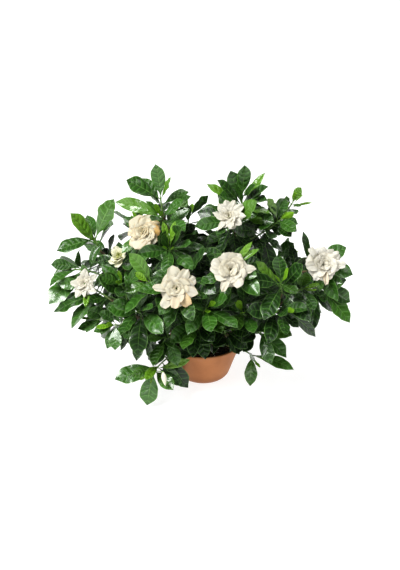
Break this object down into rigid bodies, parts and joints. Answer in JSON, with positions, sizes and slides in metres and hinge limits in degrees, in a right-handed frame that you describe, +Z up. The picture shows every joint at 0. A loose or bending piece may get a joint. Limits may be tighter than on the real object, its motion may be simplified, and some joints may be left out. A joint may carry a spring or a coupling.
{
  "type": "potted gardenia",
  "caption": "Bushy gardenia in bloom in a small round pot: woody stems, glossy dark leaves in whorls and double creamy white flowers.",
  "frame": {"origin": "centre of the pot's flat underside, on the surface that it stands on", "axes": "+Z up along the pot's axis; +X to the right and -Y towards someone who faces the side with the flowers"},
  "size_m": [0.6049, 0.4597, 0.457],
  "materials": {
    "terracotta_plastic": "satin",
    "potting_mix": "matte",
    "bark": "matte",
    "leaf": "gloss",
    "petal": "matte"
  },
  "bodies": {
    "root": {"flower_bud": "petal", "flower_front_left": "petal", "flower_front_right": "petal", "flower_left": "petal", "flower_right": "petal", "flower_top": "petal", "flower_upper_left": "petal", "pot": "terracotta_plastic", "potting_soil": "potting_mix", "shoot_back_high": "leaf", "shoot_back_left_high": "leaf", "shoot_back_left_low": "leaf", "shoot_back_left_outer": "leaf", "shoot_back_low": "leaf", "shoot_back_right_high": "leaf", "shoot_back_right_low": "leaf", "shoot_back_right_outer": "leaf", "shoot_back_right_side": "leaf", "shoot_bud": "leaf", "shoot_centre": "leaf", "shoot_centre_left": "leaf", "shoot_front_bloom": "leaf", "shoot_front_centre": "leaf", "shoot_front_inner": "leaf", "shoot_front_left": "leaf", "shoot_front_left_glossy": "leaf", "shoot_front_low": "leaf", "shoot_front_right_inner": "leaf", "shoot_front_right_low": "leaf", "shoot_left_bloom": "leaf", "shoot_left_edge": "leaf", "shoot_left_hanging": "leaf", "shoot_left_low": "leaf", "shoot_left_middle": "leaf", "shoot_left_top": "leaf", "shoot_middle_bloom": "leaf", "shoot_right_bloom": "leaf", "shoot_right_edge": "leaf", "shoot_right_front": "leaf", "shoot_right_inner": "leaf", "shoot_right_low": "leaf", "shoot_right_middle": "leaf", "shoot_top_left": "leaf", "shoot_top_right": "leaf", "shoot_trailing_left": "leaf", "shoot_trailing_right": "leaf", "shoot_tuft_right": "leaf", "shoot_upper_bloom": "leaf", "shoot_upper_left": "leaf", "shoot_upper_left_bloom": "leaf", "shoot_upper_right": "leaf", "stem_back_left": "bark", "stem_back_right": "bark", "stem_front": "bark", "stem_left": "bark", "stem_left_front": "bark", "stem_right": "bark", "stem_right_front": "bark", "stem_upper_left": "bark", "stem_upper_right": "bark"}
  },
  "joints": []
}
